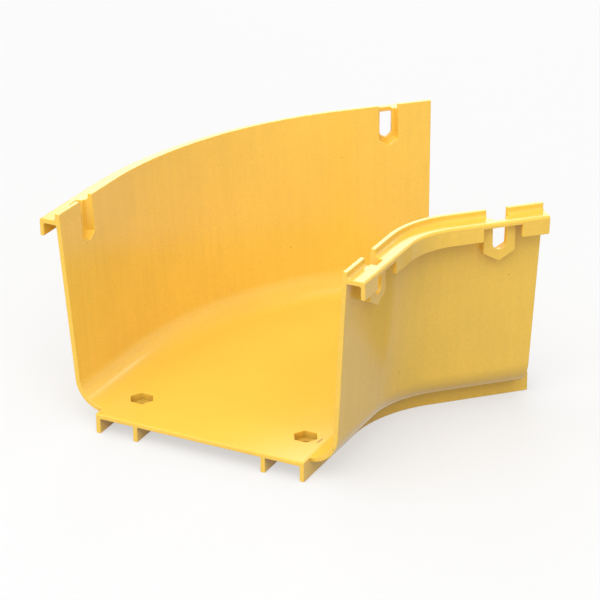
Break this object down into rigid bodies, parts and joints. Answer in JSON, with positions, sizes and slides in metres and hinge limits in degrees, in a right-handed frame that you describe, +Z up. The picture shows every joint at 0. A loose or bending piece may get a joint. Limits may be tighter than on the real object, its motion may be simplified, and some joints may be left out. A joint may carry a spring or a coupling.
{
  "type": "fibre raceway elbow",
  "caption": "Moulded yellow horizontal elbow of an open-topped fibre raceway: flared walls with flanged rims, ribbed floor with end tongues, and drop-in bolt pockets at both ends.",
  "frame": {"origin": "middle of the bounding box, on the plane of the rib feet", "axes": "+X along the chord from one end of the elbow to the other, +Y towards the outside of the bend, +Z up"},
  "size_m": [0.2546, 0.1972, 0.1121],
  "materials": {
    "yellow_plastic": "semi-gloss moulded"
  },
  "bodies": {
    "root": {"raceway_elbow": "yellow_plastic"}
  },
  "joints": []
}
